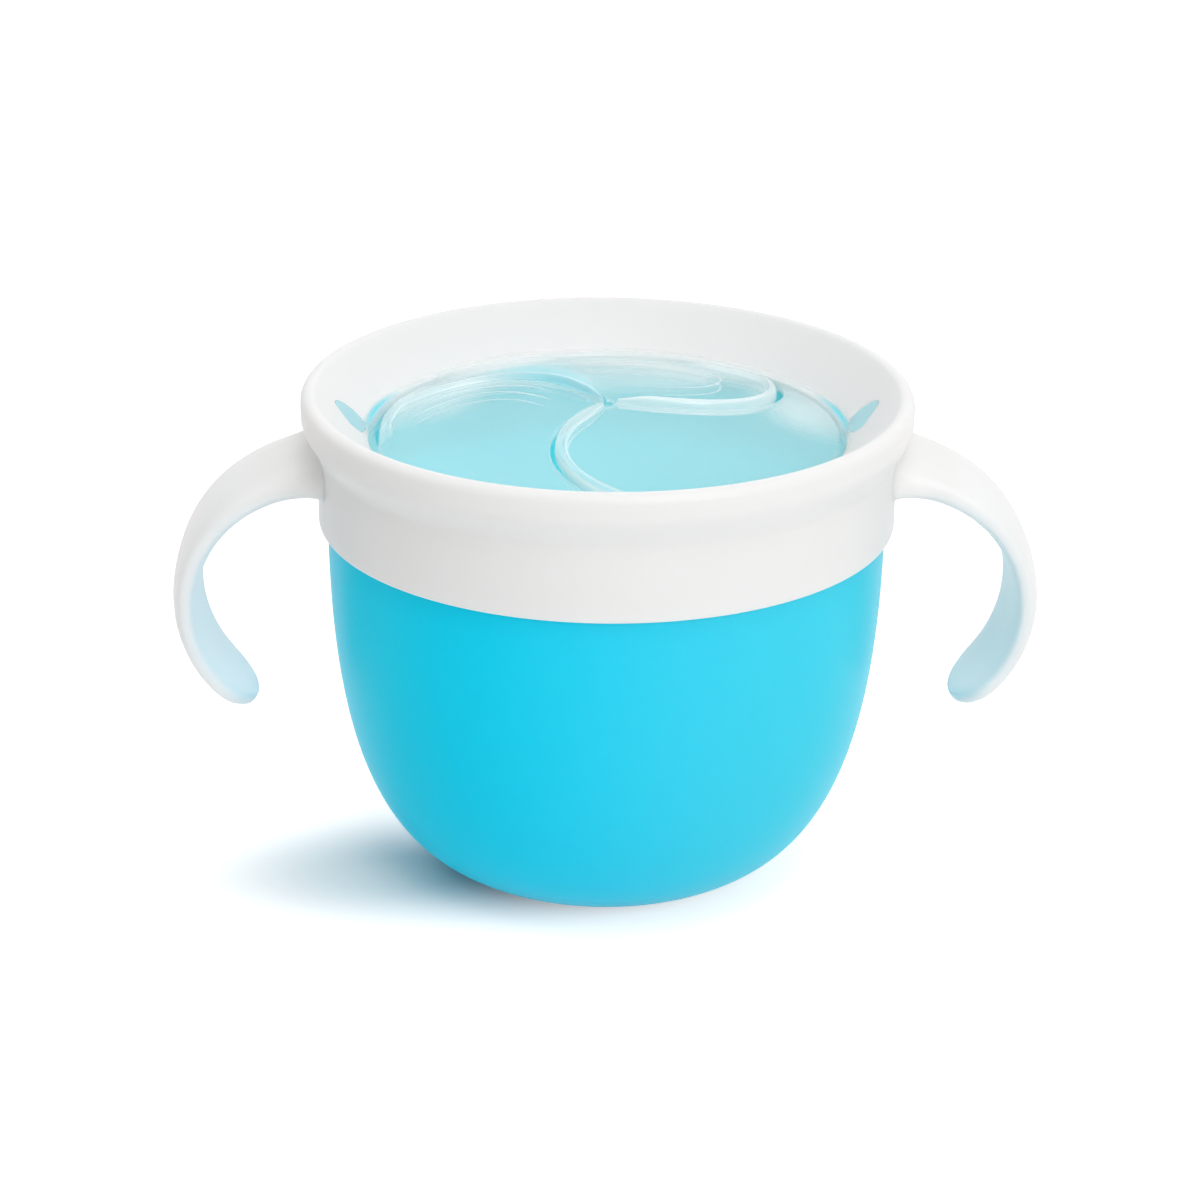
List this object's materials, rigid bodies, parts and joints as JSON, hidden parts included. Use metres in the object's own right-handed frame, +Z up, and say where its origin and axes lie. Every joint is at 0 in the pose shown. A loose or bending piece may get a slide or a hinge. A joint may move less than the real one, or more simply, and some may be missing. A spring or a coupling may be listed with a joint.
{
  "type": "toddler snack container",
  "caption": "Rounded snack cup with a push-on collar lid, two open hook handles and a clear insert of overlapping spiral flaps that a small hand can reach through.",
  "frame": {"origin": "on the floor, at the middle of the cup's flat foot", "axes": "+Z up along the cup's axis, +X through the right handle, -Y towards the front"},
  "size_m": [0.133, 0.093, 0.077],
  "materials": {
    "cup_plastic": "translucent polypropylene, smooth satin gloss",
    "lid_plastic": "white polypropylene, fine satin",
    "clear_soft": "clear soft elastomer, glossy"
  },
  "bodies": {
    "cup": {"cup": "cup_plastic"},
    "lid": {"lid_collar": "lid_plastic", "left_handle": "lid_plastic", "right_handle": "lid_plastic", "flap_ring": "clear_soft"},
    "flap_left": {"flap_left": "clear_soft"},
    "flap_right": {"flap_right": "clear_soft"},
    "flap_back": {"flap_back": "clear_soft"}
  },
  "joints": [
    {"name": "lid_lift", "type": "slide", "parent": "cup", "child": "lid", "axis": [0, 0, 1], "range_m": [0, 0.035]},
    {"name": "flap_left_swing", "type": "hinge", "parent": "lid", "child": "flap_left", "pos_m": [-0.02182, -0.00922, 0.07117], "axis": [-0.8994, 0.4177, -0.1285], "range_deg": [-20, 60], "stiffness_Nm_per_rad": 0.01},
    {"name": "flap_right_swing", "type": "hinge", "parent": "lid", "child": "flap_right", "pos_m": [0.01889, -0.01428, 0.07117], "axis": [0.088, -0.9878, -0.1285], "range_deg": [-20, 60], "stiffness_Nm_per_rad": 0.01},
    {"name": "flap_back_swing", "type": "hinge", "parent": "lid", "child": "flap_back", "pos_m": [0.00292, 0.0235, 0.07117], "axis": [0.8115, 0.5701, -0.1285], "range_deg": [-20, 60], "stiffness_Nm_per_rad": 0.01}
  ]
}
